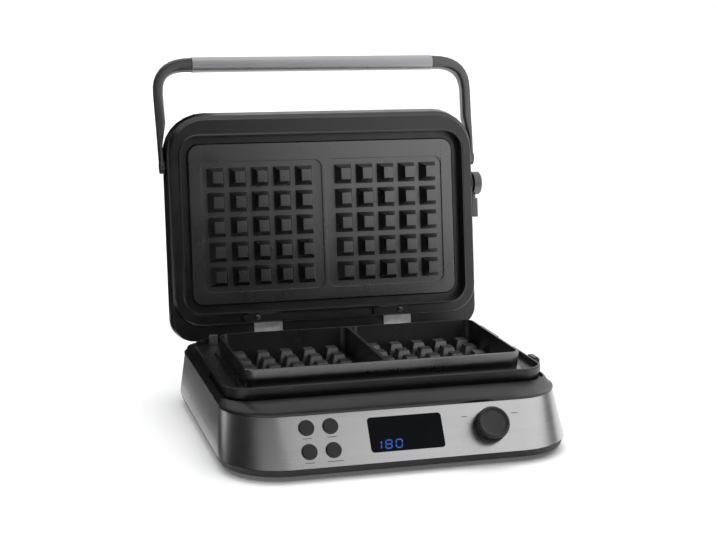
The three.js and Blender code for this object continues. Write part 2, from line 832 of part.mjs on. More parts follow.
function makeElement(z) {
  const x = field_half_width - element_inset_x;
  const y = field_half_length - element_inset_y;
  const half = [[element_tail_spread, y + element_tail], [element_tail_spread, y], [x, y], [x, -y]];
  const other = half.map(([px, py]) => [-px, py]).reverse();
  const section = new THREE.Shape(Array.from({ length: element_sides }, (_, i) => {
    const angle = 2 * Math.PI * (i / element_sides);
    return new THREE.Vector2(element_radius * Math.cos(angle), element_radius * Math.sin(angle));
  }));
  return solidOf(new THREE.ExtrudeGeometry(section, {
    extrudePath: bentPath([...half, ...other], Math.min(element_corner, element_tail - seat_gap), z),
    steps: element_steps,
  }));
}

function makeSensor(z) {
  return rodZ(sensor_radius, 0, 0, z, z + sensor_height);
}

// Lower heating parts under the plate
const lower_element_z = casting_z - seat_gap - element_radius;
const lower_pan_z = lower_element_z - element_radius - seat_gap;

function makeLowerPan() {
  const top_z = deck_under_z - seat_gap;
  const wall = grow(frame_opening, pan_sheet);
  const rim = grow(wall, pan_flange);
  const body = stack([[wall, lower_pan_z - pan_sheet], [wall, top_z]]);
  const flange = stack([[rim, top_z - pan_sheet], [rim, top_z]]);
  return body.add(flange).subtract(
    stack([[frame_opening, lower_pan_z], [frame_opening, top_z + cut_overrun]]));
}

addPiece(object, 'lower_element', makeElement(lower_element_z), element_metal());
addPiece(object, 'lower_pan', makeLowerPan(), dark_sheet());
addPiece(object, 'lower_sensor', makeSensor(casting_z - seat_gap - sensor_height), zinc());

// Sheet tabs that stand on the deck behind the lower plate
function makeTab(x) {
  const y = lip_inner.rear - tab_foot - running_gap;
  const z = channel_z + seat_gap;
  return profileAlongX([[y, z], [y + tab_foot, z], [y + tab_foot, z + tab_sheet],
    [y + tab_sheet, z + tab_sheet], [y + tab_sheet, z + tab_height], [y, z + tab_height]],
  x - tab_width / 2, x + tab_width / 2);
}

addPiece(object, 'plate_tab_left', makeTab(-tab_spread), light_sheet());
addPiece(object, 'plate_tab_right', makeTab(tab_spread), light_sheet());

// Hinge brackets and pins in the base
function makeBracket(x) {
  const high = under_face_z - seat_gap;
  const low = high - bracket_sheet;
  const ear_front = hinge_y - ear_radius;
  const plate_front = ear_front - bracket_length;
  const inner = leaf_width / 2 + seat_gap;
  const ear = [[plate_front, low], [ear_front, low], [hinge_y, low], [hinge_y + ear_radius, hinge_z],
    [hinge_y + ear_radius / 2, hinge_z + ear_radius], [hinge_y - ear_radius / 2, hinge_z + ear_radius],
    [ear_front, hinge_z], [ear_front, high], [plate_front, high]];
  const ears = [[-inner - ear_sheet, -inner], [inner, inner + ear_sheet]].map(
    ([x0, x1]) => profileAlongX(ear, x + x0, x + x1));
  const plate = block(x - inner - ear_sheet, x + inner + ear_sheet, plate_front, ear_front, low, high);
  const bore = rodX(pin_radius + seat_gap, hinge_y, hinge_z, x - well_half, x + well_half);
  return cut(joined([plate, ...ears]), [bore]);
}

function makePin(x) {
  const half = leaf_width / 2 + seat_gap + ear_sheet;
  const [left_end, right_end] = x > 0 ? [half, half + pin_end] : [half + pin_end, half];
  return rodX(pin_radius, hinge_y, hinge_z, x - left_end, x + right_end);
}

hinge_sides.forEach((x) => {
  const side = x < 0 ? 'left' : 'right';
  addPiece(object, `hinge_bracket_${side}`, makeBracket(x), light_sheet());
  addPiece(object, `hinge_pin_${side}`, makePin(x), zinc());
});

// Controls on the sloping front
const window_glass_solid = roundedSlab(window_width, window_height, window_corner, window_offset,
  window_middle, -window_glass, 0);
addPiece(front, 'display_window', window_glass_solid, glass_black());

const module_half = window_width / 2 + display_margin;
addPiece(front, 'display_module', block(window_offset - module_half, window_offset + module_half,
  window_middle - window_height / 2 - display_margin, window_middle + window_height / 2 + display_margin,
  seat_gap - board_depth, -window_glass - seat_gap), soft_black());

addPiece(front, 'control_board', block(-board_half_length, board_half_length, board_low, board_high,
  -board_depth - board_sheet, -board_depth), board_green());

const switch_top = seat_gap - board_depth + switch_height;

function makeButton() {
  const flange_top = -band_sheet - seat_gap;
  const flange_low = flange_top - button_flange;
  const stem_low = switch_top + seat_gap + button_travel;
  return turnedZ([[0, stem_low], [button_stem_radius, stem_low], [button_stem_radius, flange_low],
    [button_flange_radius, flange_low], [button_flange_radius, flange_top],
    [button_radius, flange_top], [button_radius, button_proud - button_rim],
    [button_radius - button_rim, button_proud], [0, button_proud]]);
}

function makeSwitch() {
  const half = switch_size / 2;
  return block(-half, half, -half, half, seat_gap - board_depth, switch_top);
}

button_places.forEach(([x, y], i) => {
  addPiece(front, `button_${i + 1}`, makeButton(), knob_grey()).position.set(x, y, 0);
  addPiece(front, `key_switch_${i + 1}`, makeSwitch(), soft_black()).position.set(x, y, 0);
});

// Carrier that holds the control board behind the steel: a back wall with an end wall each side
function makeCarrier() {
  const inner = board_half_length + seat_gap;
  const outer = inner + carrier_wall;
  const back = -board_depth - board_sheet - seat_gap;
  const shell = block(-outer, outer, board_low, board_high, back - carrier_wall, -band_sheet - seat_gap);
  return shell.subtract(block(-inner, inner, board_low - cut_overrun, board_high + cut_overrun,
    back, cut_overrun));
}

addPiece(front, 'board_carrier', makeCarrier(), soft_black());

function makeEncoder() {
  const half = encoder_size / 2;
  const low = seat_gap - board_depth;
  const body = block(-half, half, -half, half, low, low + encoder_height);
  const bushing = rodZ(bushing_radius, 0, 0, low, -band_sheet - seat_gap);
  const bore = rodZ(shaft_radius + seat_gap, 0, 0, low + board_sheet, cut_overrun);
  return body.add(bushing).subtract(bore);
}

function makeKnob() {
  const back = running_gap;
  const skirt_top = back + knob_skirt_height;
  const groove_top = skirt_top + knob_groove;
  const bore = shaft_radius + seat_gap;
  const bore_end = shaft_in_knob + seat_gap;
  return turnedZ([[0, bore_end], [bore, bore_end], [bore, back], [knob_radius + knob_groove / 2, back],
    [knob_radius, skirt_top], [knob_radius - knob_groove, skirt_top],
    [knob_radius - knob_groove, groove_top], [knob_radius, groove_top],
    [knob_radius, knob_height - knob_chamfer], [knob_radius - knob_chamfer, knob_height],
    [0, knob_height]]);
}

const shaft_low = 2 * seat_gap - board_depth + board_sheet;
addPiece(front, 'encoder', makeEncoder(), zinc()).position.set(knob_from_middle, knob_middle, 0);
addPiece(front, 'selector_knob', makeKnob(), knob_grey()).position.set(
  knob_from_middle, knob_middle, 0);
addPiece(front, 'knob_shaft', rodZ(shaft_radius, 0, 0, shaft_low, shaft_in_knob), zinc()).position.set(
  knob_from_middle, knob_middle, 0);

// Power board and relay on the tray's posts
const power_board_z = tray_floor_z + power_post_height + seat_gap;
const relay_z = power_board_z + board_sheet + seat_gap;
const [power_x, power_y] = power_board_middle;
addPiece(object, 'power_board', block(power_x - power_board_x / 2, power_x + power_board_x / 2,
  power_y - power_board_y / 2, power_y + power_board_y / 2, power_board_z,
  power_board_z + board_sheet), board_green());
addPiece(object, 'relay', block(power_x - relay_x / 2, power_x + relay_x / 2,
  power_y - relay_y / 2, power_y + relay_y / 2, relay_z, relay_z + relay_height), soft_black());

// Lid, built closed: frame with its lip and skirt
const upper_element_z = upper_back_z + seat_gap + element_radius;
const upper_pan_z = upper_element_z + element_radius + seat_gap;
const leaf_z = lid_inner_z + seat_gap;
const leaf_front_y = lid_opening.rear + lid_skirt + seat_gap;
const frame_screw_y = leaf_front_y + frame_screw_setback;
const screw_sides = [-frame_screw_spread, frame_screw_spread];

function makeLidFrame() {
  const round = lid_frame_sheet / 2;
  const flange = stack([[grow(lid_edge_line, -round), lid_z], [lid_edge_line, lid_z + round],
    [lid_edge_line, lid_inner_z]]);
  const bead_edge = grow(lid_opening, lid_lip_bead_width);
  const bead = stack([[grow(bead_edge, -lid_lip_bead), lid_z - lid_lip_bead], [bead_edge, lid_z],
    [bead_edge, lid_inner_z]]);
  const skirt_edge = grow(lid_opening, lid_skirt);
  const skirt = stack([[skirt_edge, lid_inner_z - round], [skirt_edge, upper_pan_z - seat_gap]]);
  const opening = stack([[lid_opening, lid_z - cut_overrun], [lid_opening, upper_pan_z]]);
  const holes = screw_sides.map((x) => rodZ(screw_radius + seat_gap, x, frame_screw_y,
    lid_z - cut_overrun, lid_inner_z + cut_overrun));
  const rim = cut(joined([flange, bead, skirt]), [opening, ...holes]);
  return joined([rim, plateSeat()]);
}

// The inner ledge that the upper plate's back rests on
function plateSeat() {
  const seat_z = upper_back_z + seat_gap;
  const outer = grow(lid_opening, lid_skirt / 2);
  const inner = grow(plate_edge, -lid_seat_reach);
  return stack([[outer, seat_z], [outer, seat_z + lid_seat_sheet]]).subtract(
    stack([[inner, seat_z - cut_overrun], [inner, seat_z + cut_overrun]]));
}

const lid_closed = new THREE.Group();
addPiece(lid_closed, 'lid_frame', makeLidFrame(), black_plastic());

// Lid shell: bulges out over the frame, overhangs the hinge and rounds over to its top
const ledge_z = lid_inner_z + lid_ledge;
const lid_at = (share) => lid_z + lid_height * share;
const bail_pivot = [lid_widest.front + bail_from_front, lid_z + bail_height_in_lid];
const lock_y = bail_pivot[0] + lock_from_pivot;

function shellBody(inward, low_z, ledge_at, top_z) {
  const foot = grow(lid_edge_line, -inward);
  const ledge_side = lid_bulge_side / 2;
  const ledge = grow(lid_edge_line, ledge_side - inward, lid_bulge_front / 2 - inward, -inward);
  const over = outline(ledge.half, ledge.front, lid_widest.rear - inward, ledge.radius,
    lid_overhang_corner - inward);
  const widest = grow(lid_widest, -inward);
  return stack([[foot, low_z], [ledge, ledge_at], [over, ledge_at],
    [widest, lid_at(shell_widest_share)],
    [grow(widest, -lid_bulge_side * shell_draft_share), lid_at(shell_straight_share)],
    [grow(widest, -lid_edge), Math.min(lid_at(shell_bend_share), top_z - inward)],
    [grow(widest, -lid_shoulder), lid_at(shell_shoulder_share) - inward],
    [grow(widest, -lid_crown), top_z]]);
}

function makeShell() {
  const outer = shellBody(0, leaf_z, ledge_z, lid_at(1));
  const inner = shellBody(lid_shell_wall, leaf_z - cut_overrun, ledge_z + lid_shell_wall,
    lid_at(1) - lid_shell_wall);
  const slots = hinge_sides.map((x) => block(x - leaf_width / 2 - seat_gap, x + leaf_width / 2 + seat_gap,
    leaf_front_y, hinge_y, lid_z, ledge_z));
  const [pivot_y, pivot_z] = bail_pivot;
  const side_x = lid_widest.half + cut_overrun;
  const hole = (y, radius) => rodX(radius + seat_gap, y, pivot_z, 0, side_x);
  const left_hole = rodX(pivot_radius + seat_gap, pivot_y, pivot_z, -side_x, 0);
  return cut(outer.subtract(inner), [...slots, hole(pivot_y, pivot_radius), left_hole,
    hole(lock_y, lock_shaft_radius)]);
}

addPiece(lid_closed, 'lid_shell', makeShell(), black_plastic());

// Upper plate, its element, pan and sensor
function makeUpperPlate() {
  const slab = stack([[grow(plate_edge, -plate_edge_round), plate_rim_z],
    [plate_edge, plate_rim_z + plate_edge_round], [plate_edge, upper_back_z]]);
  const recess = fieldCutter(single_field, plate_rim_z - cut_overrun, single_field, upper_floor_z);
  const root_z = (upper_floor_z + upper_back_z) / 2;
  return joined([cut(slab, recess), ...pegs(root_z, upper_floor_z - peg_height)]);
}

function makeUpperPan() {
  const edge = grow(lid_opening, lid_skirt);
  return stack([[edge, upper_pan_z], [edge, upper_pan_z + pan_sheet]]);
}

addPiece(lid_closed, 'upper_plate', makeUpperPlate(), plate_coating());
addPiece(lid_closed, 'upper_element', makeElement(upper_element_z), element_metal());
addPiece(lid_closed, 'upper_pan', makeUpperPan(), dark_sheet());
addPiece(lid_closed, 'upper_sensor', makeSensor(upper_back_z + seat_gap), zinc());

// Hinge leaves: sheet that leaves the lid over its rear rim and bends down to the pin
function makeLeaf(x) {
  const top = leaf_z + leaf_sheet;
  const leg_y = hinge_y - knuckle_radius;
  const sheet = profileAlongX([[leaf_front_y, leaf_z], [leg_y, leaf_z], [leg_y, hinge_z],
    [leg_y + leaf_sheet, hinge_z], [leg_y + leaf_sheet, top], [leaf_front_y, top]],
  x - leaf_width / 2, x + leaf_width / 2);
  const knuckle = rodX(knuckle_radius, hinge_y, hinge_z, x - leaf_width / 2, x + leaf_width / 2,
    round_steps);
  const bore = rodX(pin_radius + seat_gap, hinge_y, hinge_z, x - leaf_width, x + leaf_width);
  const hole = rodZ(screw_radius + seat_gap, Math.sign(x) * frame_screw_spread, frame_screw_y,
    leaf_z - cut_overrun, top + cut_overrun);
  return cut(sheet.add(knuckle), [bore, hole]);
}

hinge_sides.forEach((x) => {
  addPiece(lid_closed, `hinge_leaf_${x < 0 ? 'left' : 'right'}`, makeLeaf(x), light_sheet());
});

// Screws through the lid's rear rim into the leaves
screw_sides.forEach((x) => {
  const head_top = lid_z - seat_gap;
  const screw = joined([
    rodZ(screw_head_radius, x, frame_screw_y, head_top - screw_head_height, head_top),
    rodZ(screw_radius, x, frame_screw_y, head_top - screw_head_height / 2, leaf_z + leaf_sheet),
  ]);
  addPiece(lid_closed, `frame_screw_${x < 0 ? 'left' : 'right'}`, screw, zinc());
});

// Small stops on the rear rim, to the left of each hinge sheet
function makeRimStop(x) {
  const half = rim_stop_width / 2;
  const top = lid_z - seat_gap;
  return block(x - half, x + half, lid_opening.rear + lid_lip_bead_width + seat_gap,
    lid_edge_line.rear - lid_frame_sheet, top - rim_stop_height, top);
}

hinge_sides.forEach((x) => {
  addPiece(lid_closed, `rim_stop_${x < 0 ? 'left' : 'right'}`, makeRimStop(x - rim_stop_from_hinge),
    soft_black());
});

// Bail: a metal grip between two arms that bend in at their upper ends
const arm_inner = lid_widest.half + bail_side_gap;
const arm_outer = arm_inner + bail_end_thickness + bail_arm_lean;
const arm_middle = arm_outer - bail_arm_thickness / 2;
const grip_half = arm_middle - bail_corner;

// The two ends of a stretch of X that lies near to far from the middle, lowest first
function onSide(side, near, far) {
  return side > 0 ? [near, far] : [-far, -near];
}

function sectionRing(middle, across, half_thickness, half_depth) {
  const bulge = (value) => Math.sign(value) * Math.abs(value) ** bail_squareness_share;
  return Array.from({ length: bail_sides }, (_, i) => {
    const angle = 2 * Math.PI * ((i + 0.5) / bail_sides);
    return middle.clone().addScaledVector(across, half_thickness * bulge(Math.cos(angle)))
      .add(new THREE.Vector3(0, 0, half_depth * bulge(Math.sin(angle))));
  });
}

function makeArm(side) {
  const straight = bail_reach - bail_corner_rise;
  const outward = new THREE.Vector3(side, 0, 0);
  const rings = [];
  [[0, bail_end_thickness], [bail_thin_length, bail_end_thickness],
    [bail_thin_length + bail_swell_length, bail_arm_thickness]].forEach(([along, thickness]) => {
    const outer = arm_inner + bail_end_thickness + bail_arm_lean * (along / straight);
    const middle = new THREE.Vector3(side * (outer - thickness / 2), -along, 0);
    rings.push(sectionRing(middle, outward, thickness / 2, bail_arm_depth / 2));
  });
  for (let step = 0; step <= bail_bend_steps; step += 1) {
    const share = step / bail_bend_steps;
    const turn = share * Math.PI / 2;
    const [level, upright] = [Math.cos(turn), Math.sin(turn)].map((value) => Math.max(value, 0));
    const across = new THREE.Vector3(side * bail_corner_rise * level ** (2 - bail_bend_share),
      -bail_corner * upright ** (2 - bail_bend_share), 0).normalize();
    const middle = new THREE.Vector3(side * (grip_half + bail_corner * level ** bail_bend_share),
      -straight - bail_corner_rise * upright ** bail_bend_share, 0);
    const thickness = bail_arm_thickness + (bail_corner_thickness - bail_arm_thickness) * share;
    const depth = bail_arm_depth + (bail_corner_thickness - bail_arm_depth) * share;
    rings.push(sectionRing(middle, across, thickness / 2, depth / 2));
  }
  const spigot_radius = grip_radius - grip_wall - seat_gap;
  const spigot = onSide(side, grip_half - grip_spigot, grip_half + seat_gap);
  const end = onSide(side, arm_inner, arm_inner + bail_end_thickness);
  const bore = onSide(side, arm_inner - cut_overrun, arm_inner + pivot_blind);
  return cut(joined([skin(rings), rodX(bail_end_radius, 0, 0, ...end, round_steps),
    rodX(spigot_radius, -bail_reach, 0, ...spigot)]),
  [rodX(pivot_radius + seat_gap, 0, 0, ...bore)]);
}

function makeGrip() {
  const half = grip_half - seat_gap;
  return rodX(grip_radius, -bail_reach, 0, -half, half, round_steps).subtract(
    rodX(grip_radius - grip_wall, -bail_reach, 0, -half - cut_overrun, half + cut_overrun, round_steps));
}

function makePivotPin(side) {
  const inside = lid_widest.half - lid_bulge_side / 2 - lid_shell_wall - seat_gap;
  const pin = onSide(side, inside - pivot_head, arm_inner + pivot_blind - seat_gap);
  const head = onSide(side, inside - pivot_head, inside);
  return rodX(pivot_radius, 0, 0, ...pin).add(rodX(pivot_head_radius, 0, 0, ...head));
}

addPiece(bail, 'grip_tube', makeGrip(), grip_metal());
[[-1, 'left'], [1, 'right']].forEach(([side, word]) => {
  addPiece(bail, `bail_arm_${word}`, makeArm(side), black_plastic());
  addPiece(bail, `pivot_pin_${word}`, makePivotPin(side), zinc());
});

// Lock: a boss on the lid, a turning disc and its tab, which points to the rear
const boss_low = seat_gap;
const boss_high = boss_low + lock_boss_height;
const disc_low = boss_high + seat_gap;
const alongX = new THREE.Matrix4().makeRotationY(Math.PI / 2);

const boss = moved(turnedZ([[lock_shaft_radius + seat_gap, boss_low], [lock_boss_radius, boss_low],
  [lock_boss_radius, boss_high - lock_chamfer], [lock_boss_radius - lock_chamfer, boss_high],
  [lock_shaft_radius + seat_gap, boss_high], [lock_shaft_radius + seat_gap, boss_low]]), alongX);
addPiece(lid_closed, 'lock_boss', boss, black_plastic()).position.set(
  lid_widest.half, lock_y, bail_pivot[1]);

// The lock's shaft, disc, neck and tab are one moulded lever
function makeLever() {
  const disc_high = disc_low + lock_disc_height;
  const shaft_end = -lid_shell_wall - lock_chamfer;
  const disc = moved(turnedZ([[0, shaft_end], [lock_shaft_radius, shaft_end],
    [lock_shaft_radius, disc_low], [lock_disc_radius, disc_low],
    [lock_disc_radius, disc_high - lock_chamfer], [lock_disc_radius - lock_chamfer, disc_high],
    [0, disc_high]]), alongX);
  const tab_y = lock_disc_radius + lock_neck_length;
  const tab_low = disc_low - lock_tab_set_in;
  const neck_low = disc_low + lock_neck_set_in;
  const neck = block(neck_low, neck_low + lock_neck_thickness, 0,
    tab_y + lock_neck_length, -lock_neck_width / 2, lock_neck_width / 2);
  const tab = block(tab_low, tab_low + lock_tab_thickness, tab_y, tab_y + lock_tab_length,
    -lock_tab_width / 2, lock_tab_width / 2);
  return joined([disc, neck, tab]);
}

addPiece(lock, 'lock_lever', makeLever(), black_plastic());

// Assembly: the lid hangs on the hinge, the bail and the lock on the lid
lid_closed.position.set(0, -hinge_y, -hinge_z);
lid.position.set(0, hinge_y, hinge_z);
lid.rotation.x = -THREE.MathUtils.degToRad(lid_open_degrees);
bail.position.set(0, ...bail_pivot);
bail.rotation.x = -THREE.MathUtils.degToRad(bail_back_degrees);
lock.position.set(lid_widest.half, lock_y, bail_pivot[1]);
lid_closed.add(bail, lock);
lid.add(lid_closed);
object.add(front, rear, lid);

// The finished object stands with its bounding box's bottom centre at the origin
object.updateMatrixWorld(true);
const bounds = new THREE.Box3().setFromObject(object, true);
const middle = bounds.getCenter(new THREE.Vector3());
object.position.set(-middle.x, -middle.y, -bounds.min.z);

export default object;
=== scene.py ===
import json
import math
import bmesh
import bpy
from mathutils import Matrix, Vector


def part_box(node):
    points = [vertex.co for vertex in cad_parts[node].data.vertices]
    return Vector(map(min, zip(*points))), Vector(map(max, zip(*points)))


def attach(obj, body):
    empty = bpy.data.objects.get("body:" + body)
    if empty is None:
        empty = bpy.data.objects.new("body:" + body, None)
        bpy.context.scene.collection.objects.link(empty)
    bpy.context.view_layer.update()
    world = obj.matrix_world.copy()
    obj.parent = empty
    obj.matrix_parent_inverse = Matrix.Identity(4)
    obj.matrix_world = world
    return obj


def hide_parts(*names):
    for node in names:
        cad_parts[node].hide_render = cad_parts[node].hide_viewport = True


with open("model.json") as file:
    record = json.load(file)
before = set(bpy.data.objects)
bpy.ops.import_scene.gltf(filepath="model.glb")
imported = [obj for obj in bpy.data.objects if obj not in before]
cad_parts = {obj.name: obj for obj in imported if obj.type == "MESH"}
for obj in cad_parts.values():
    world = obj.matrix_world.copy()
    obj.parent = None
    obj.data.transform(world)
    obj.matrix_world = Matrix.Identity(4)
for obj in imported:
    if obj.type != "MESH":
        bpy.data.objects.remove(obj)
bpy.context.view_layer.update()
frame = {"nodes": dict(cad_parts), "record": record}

scene = bpy.context.scene
nodes = frame["nodes"]
joints = {joint["name"]: joint for joint in frame["record"]["behaviour"]["joints"]}
MM = 0.001
UP, DOWN = Vector((0, 0, 1)), Vector((0, 0, -1))

# Places that come from the frame: the knob's centre, the way out of the sloping front, the way up it,
# and the way that the open lid's inner side faces
knob_place = Vector(joints["knob_turn"]["pos_m"])
front_out = Vector(joints["knob_turn"]["axis"]).normalized()
front_up = Vector((0, front_out.z, -front_out.y))
lid_opening = math.radians(-joints["lid_hinge"]["range_deg"][0])
lid_inner_side = Vector((0, -math.sin(lid_opening), -math.cos(lid_opening)))


def add_object(name, data):
    """A new object, linked to the scene"""
    obj = bpy.data.objects.new(name, data)
    scene.collection.objects.link(obj)
    return obj


# Camera, fitted to the photograph's frame, which is 716 pixels wide
FOCAL_PX = 1462.97
FRAME_PX = 716.0
SENSOR_MM = 36.0
NEAREST, FARTHEST = 0.05, 30
YAW, PITCH, ROLL = math.radians(15.772), math.radians(11.466), math.radians(0.348)
EYE = knob_place + Vector((-0.430671, -1.111821, 0.374979))


def make_camera():
    look = Vector((math.sin(YAW) * math.cos(PITCH), math.cos(YAW) * math.cos(PITCH), -math.sin(PITCH)))
    right = Vector((math.cos(YAW), -math.sin(YAW), 0))
    up = right.cross(look)
    tilted_right = math.cos(ROLL) * right + math.sin(ROLL) * up
    tilted_up = -math.sin(ROLL) * right + math.cos(ROLL) * up
    data = bpy.data.cameras.new("photo_camera")
    data.sensor_width = SENSOR_MM
    data.sensor_fit = "HORIZONTAL"
    data.lens = FOCAL_PX / FRAME_PX * SENSOR_MM
    data.clip_start, data.clip_end = NEAREST, FARTHEST
    camera = add_object("photo_camera", data)
    turn = Matrix((tilted_right, tilted_up, -look)).transposed().to_4x4()
    camera.matrix_world = Matrix.Translation(EYE) @ turn
    scene.camera = camera


make_camera()


# Materials
class Shader:
    """A Principled material, with helpers for procedural detail in object coordinates"""

    def __init__(self, name, color, roughness, metallic=0.0, specular=0.5, ior=1.5):
        self.material = bpy.data.materials.new(name)
        self.material.use_nodes = True
        self.tree = self.material.node_tree
        self.bsdf = self.tree.nodes["Principled BSDF"]
        self.bsdf.inputs["Base Color"].default_value = (*color, 1)
        for socket, number in (("Roughness", roughness), ("Metallic", metallic),
                               ("Specular IOR Level", specular), ("IOR", ior)):
            self.bsdf.inputs[socket].default_value = number
        self.coords = self.node("ShaderNodeTexCoord").outputs["Object"]
        self.normal = None

    def node(self, kind, **settings):
        made = self.tree.nodes.new(kind)
        for key, value in settings.items():
            setattr(made, key, value)
        return made

    def link(self, source, target):
        self.tree.links.new(source, target)

    def noise(self, scale, stretch=(1, 1, 1), detail=4.0, rough=0.55):
        mapping = self.node("ShaderNodeMapping")
        mapping.inputs["Scale"].default_value = stretch
        self.link(self.coords, mapping.inputs["Vector"])
        noise = self.node("ShaderNodeTexNoise")
        for socket, number in (("Scale", scale), ("Detail", detail), ("Roughness", rough)):
            noise.inputs[socket].default_value = number
        self.link(mapping.outputs["Vector"], noise.inputs["Vector"])
        return noise.outputs["Fac"]

    def cells(self, scale):
        cells = self.node("ShaderNodeTexVoronoi")
        cells.inputs["Scale"].default_value = scale
        self.link(self.coords, cells.inputs["Vector"])
        return cells.outputs["Distance"]

    def ranged(self, value, from_low, from_high, low=0.0, high=1.0):
        """The value with from_low to from_high spread over low to high"""
        ranged = self.node("ShaderNodeMapRange")
        for socket, number in (("From Min", from_low), ("From Max", from_high),
                               ("To Min", low), ("To Max", high)):
            ranged.inputs[socket].default_value = number
        self.link(value, ranged.inputs["Value"])
        return ranged.outputs["Result"]

    def times(self, value, share):
        product = self.node("ShaderNodeMath", operation="MULTIPLY")
        product.inputs[1].default_value = share
        self.link(value, product.inputs[0])
        return product.outputs[0]

    def weighed(self, first, second, share):
        """The sum of two values, with share of the first one and the rest of the second"""
        total = self.node("ShaderNodeMath", operation="ADD")
        self.link(self.times(first, share), total.inputs[0])
        self.link(self.times(second, 1 - share), total.inputs[1])
        return total.outputs[0]

    def mixed(self, value, low, high):
        mix = self.node("ShaderNodeMix", data_type="RGBA")
        mix.inputs["A"].default_value = (*low, 1)
        mix.inputs["B"].default_value = (*high, 1)
        self.link(value, mix.inputs["Factor"])
        return mix.outputs["Result"]

    def vary_color(self, value, low, high):
        self.link(self.mixed(value, low, high), self.bsdf.inputs["Base Color"])

    def vary_roughness(self, value, low, high):
        self.link(self.ranged(value, 0.3, 0.7, low, high), self.bsdf.inputs["Roughness"])

    def add_bump(self, value, depth_mm):
        bump = self.node("ShaderNodeBump")
        bump.inputs["Distance"].default_value = depth_mm * MM
        self.link(value, bump.inputs["Height"])
        if self.normal:
            self.link(self.normal, bump.inputs["Normal"])
        self.normal = bump.outputs["Normal"]
        self.link(self.normal, self.bsdf.inputs["Normal"])


def shade(color, factor):
    return tuple(min(1.0, channel * factor) for channel in color)


def moulded(name, color, roughness, grain=1400, depth=0.012, specular=0.5, ior=1.5):
    """Moulded plastic: fine spark-eroded grain, soft cloudiness and slightly polished patches"""
    shader = Shader(name, color, roughness, specular=specular, ior=ior)
    cloud = shader.ranged(shader.noise(22, detail=5), 0.3, 0.7)
    shader.vary_color(cloud, shade(color, 0.86), shade(color, 1.16))
    shader.vary_roughness(shader.noise(60, detail=6), roughness - 0.05, roughness + 0.06)
    shader.add_bump(shader.cells(grain), depth)
    shader.add_bump(shader.noise(grain * 0.35, detail=3), depth * 0.7)
    return shader.material


def brushed(name, color, roughness, stretch, around=None):
    """Brushed metal: long scratches along one way, in tone, roughness and relief. The highlight is
    drawn out round the axis that around names."""
    shader = Shader(name, color, roughness, metallic=1.0)
    lines = shader.noise(60, stretch, detail=8, rough=0.75)
    broad = shader.noise(9, tuple(way * 0.25 + 0.2 for way in stretch), detail=3)
    shader.vary_color(shader.ranged(lines, 0.28, 0.72), shade(color, 0.94), shade(color, 1.05))
    shader.vary_roughness(shader.weighed(lines, broad, 0.7), roughness - 0.07, roughness + 0.08)
    shader.add_bump(lines, 0.003)
    if around:
        tangent = shader.node("ShaderNodeTangent", direction_type="RADIAL", axis=around)
        shader.link(tangent.outputs["Tangent"], shader.bsdf.inputs["Tangent"])
        shader.bsdf.inputs["Anisotropic"].default_value = 0.55
    return shader.material


def coated(name, color, roughness):
    """Non-stick coating: sprayed, with a very fine orange peel, flecks and a soft sheen"""
    shader = Shader(name, color, roughness, specular=1.0, ior=1.85)
    flecks = shader.cells(2600)
    cloud = shader.noise(30, detail=5)
    tone = shader.weighed(shader.ranged(flecks, 0.0, 0.5), shader.ranged(cloud, 0.3, 0.7), 0.35)
    shader.vary_color(tone, shade(color, 0.84), shade(color, 1.2))
    shader.vary_roughness(cloud, roughness - 0.015, roughness + 0.02)
    shader.add_bump(shader.noise(900, detail=2), 0.008)
    return shader.material


def sheet_metal(name, color, roughness):
    """Rolled and zinc plated sheet: faint rolling lines and a mottled film"""
    shader = Shader(name, color, roughness, metallic=1.0)
    mottled = shader.ranged(shader.cells(160), 0.0, 0.8)
    rolled = shader.noise(30, (1, 1, 12), detail=6)
    shader.vary_color(mottled, shade(color, 0.88), shade(color, 1.08))
    shader.vary_roughness(rolled, roughness - 0.06, roughness + 0.1)
    shader.add_bump(rolled, 0.01)
    return shader.material


def rubber(name, color):
    """Matt rubber with a little dust on it"""
    shader = Shader(name, color, 0.82, specular=0.35)
    dust = shader.noise(240, detail=6)
    shader.vary_color(shader.ranged(dust, 0.35, 0.75), color, shade(color, 1.7))
    shader.vary_roughness(dust, 0.74, 0.92)
    shader.add_bump(shader.noise(1500, detail=3), 0.02)
    return shader.material


def glass(name, color):
    """Dark, almost opaque glass with a faint film"""
    shader = Shader(name, color, 0.16, specular=0.05)
    film = shader.noise(35, detail=4)
    shader.vary_color(shader.ranged(film, 0.3, 0.7), (0.0025, 0.003, 0.004), (0.004, 0.0045, 0.006))
    shader.vary_roughness(film, 0.1, 0.2)
    return shader.material


def lit(name, color, strength):
    """A lit display: its glow is a little uneven"""
    shader = Shader(name, color, 0.4)
    glow = shader.noise(420, detail=2)
    shader.link(shader.mixed(glow, shade(color, 0.8), shade(color, 1.15)),
                shader.bsdf.inputs["Emission Color"])
    shader.vary_color(glow, shade(color, 0.3), shade(color, 0.4))
    shader.bsdf.inputs["Emission Strength"].default_value = strength
    return shader.material


def board(name, color):
    """A coated circuit board with raised tracks"""
    shader = Shader(name, color, 0.4)
    tracks = shader.noise(160, detail=1)
    shader.vary_color(shader.ranged(tracks, 0.48, 0.52), (0.015, 0.09, 0.04), (0.03, 0.15, 0.07))
    shader.vary_roughness(shader.noise(90), 0.3, 0.5)
    shader.add_bump(tracks, 0.03)
    return shader.material


